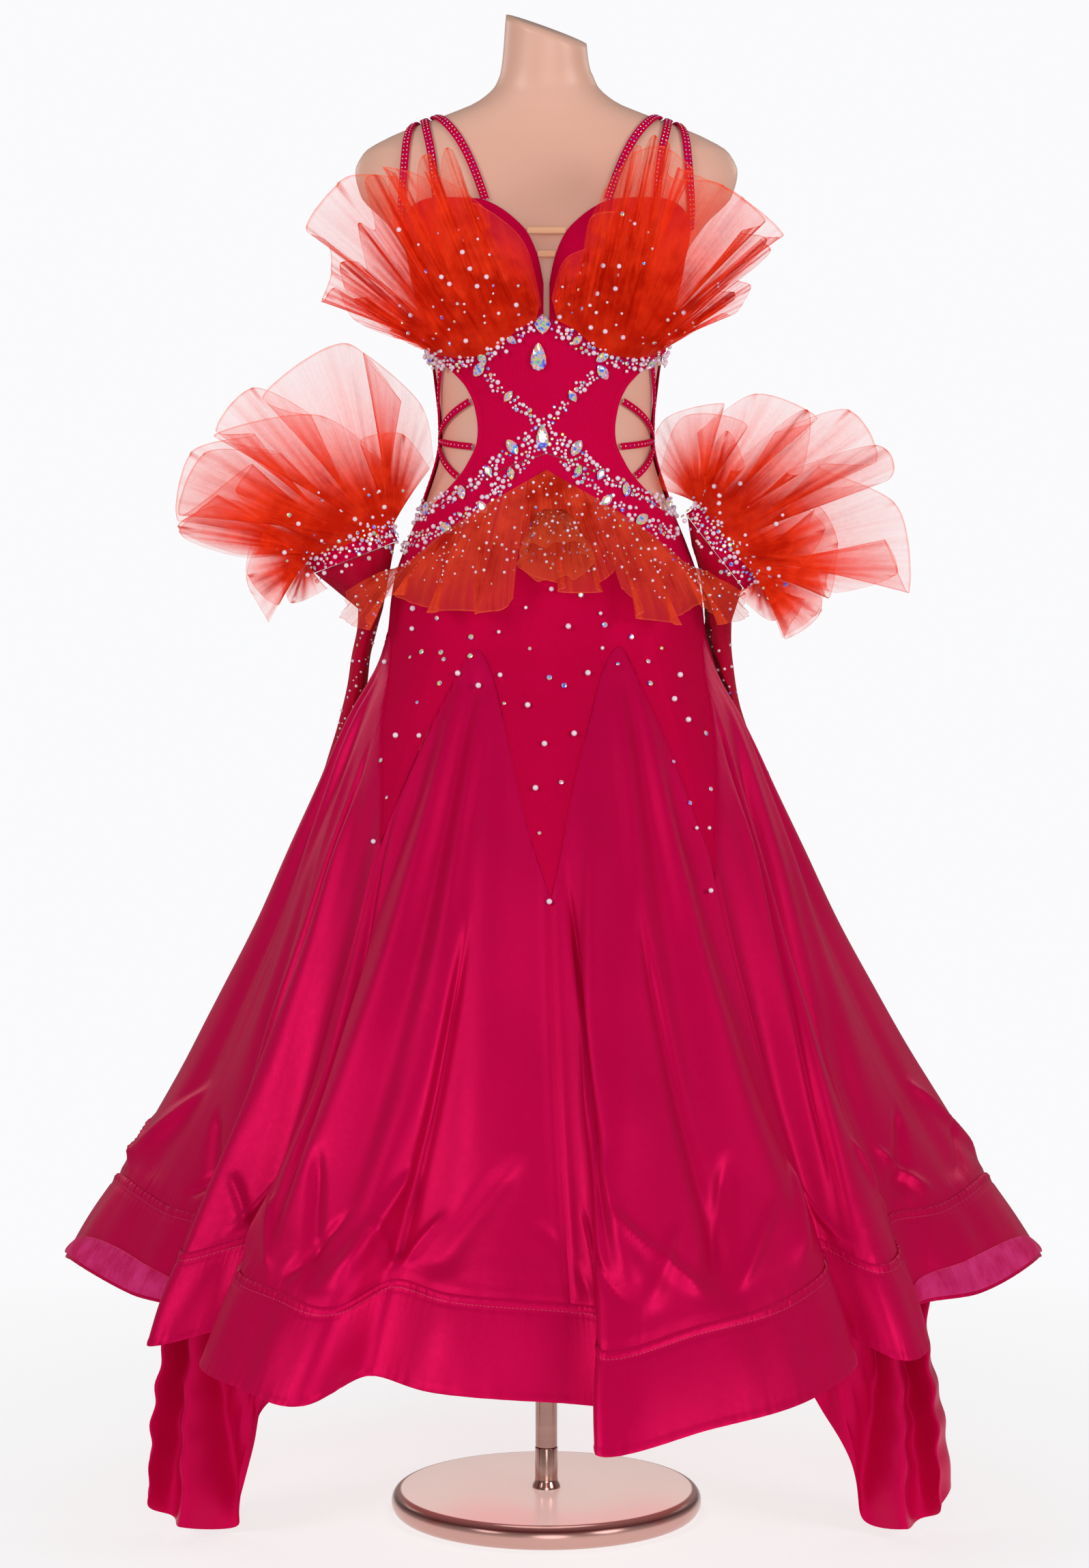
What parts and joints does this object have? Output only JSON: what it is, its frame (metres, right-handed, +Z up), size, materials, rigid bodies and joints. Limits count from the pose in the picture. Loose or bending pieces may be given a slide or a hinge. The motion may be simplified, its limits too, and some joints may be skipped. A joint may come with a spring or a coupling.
{
  "type": "ballroom dance dress on a limbless dress form",
  "caption": "Long ballroom dress with cut-out waist, crin ruffle fans at bust and cuffs, and a flared godet skirt, on a limbless dress form with a pole and a round base.",
  "frame": {"origin": "the centre of the round base's flat underside, on the floor", "axes": "+Z up along the pole, -Y the way the front of the dress faces, +X towards the wearer's left, which is the right-hand side seen from the front"},
  "size_m": [1.0443, 1.0663, 1.5883],
  "materials": {
    "jersey": "matt stretch jersey",
    "satin": "soft stretch satin",
    "crin": "sheer stiff crin net",
    "sheer_mesh": "sheer stretch mesh",
    "nude_elastic": "skin-coloured elastic",
    "crystal": "faceted foiled crystal",
    "form_shell": "smooth satin shell",
    "rose_metal": "polished rose metal"
  },
  "bodies": {
    "root": {"arm_fan_left": "crin", "arm_fan_right": "crin", "back_band": "jersey", "back_panel": "jersey", "base_disc": "rose_metal", "bust_fan_left": "crin", "bust_fan_right": "crin", "cuff_left": "jersey", "cuff_right": "jersey", "cup_left": "jersey", "cup_right": "jersey", "float_left": "satin", "float_right": "satin", "form_torso": "form_shell", "front_panel": "jersey", "gauntlet_left": "sheer_mesh", "gauntlet_right": "sheer_mesh", "godet_back_left": "satin", "godet_back_right": "satin", "godet_front_left": "satin", "godet_front_right": "satin", "godet_side_left": "satin", "godet_side_right": "satin", "hem_band_back": "satin", "hem_band_front": "satin", "lattice_left_down": "jersey", "lattice_left_knot": "jersey", "lattice_left_lower": "jersey", "lattice_left_middle": "jersey", "lattice_left_up": "jersey", "lattice_left_upper": "jersey", "lattice_right_down": "jersey", "lattice_right_knot": "jersey", "lattice_right_lower": "jersey", "lattice_right_middle": "jersey", "lattice_right_up": "jersey", "lattice_right_upper": "jersey", "neck_bar_lower": "nude_elastic", "neck_bar_upper": "nude_elastic", "peplum_centre": "crin", "peplum_left": "crin", "peplum_right": "crin", "pole": "rose_metal", "pole_socket": "rose_metal", "stone_bust_diamond": "crystal", "stone_bust_drop": "crystal", "stone_waist_drop": "crystal", "strap_left_inner": "jersey", "strap_left_middle": "jersey", "strap_left_outer": "jersey", "strap_right_inner": "jersey", "strap_right_middle": "jersey", "strap_right_outer": "jersey", "yoke_back": "jersey", "yoke_front": "jersey"}
  },
  "joints": []
}
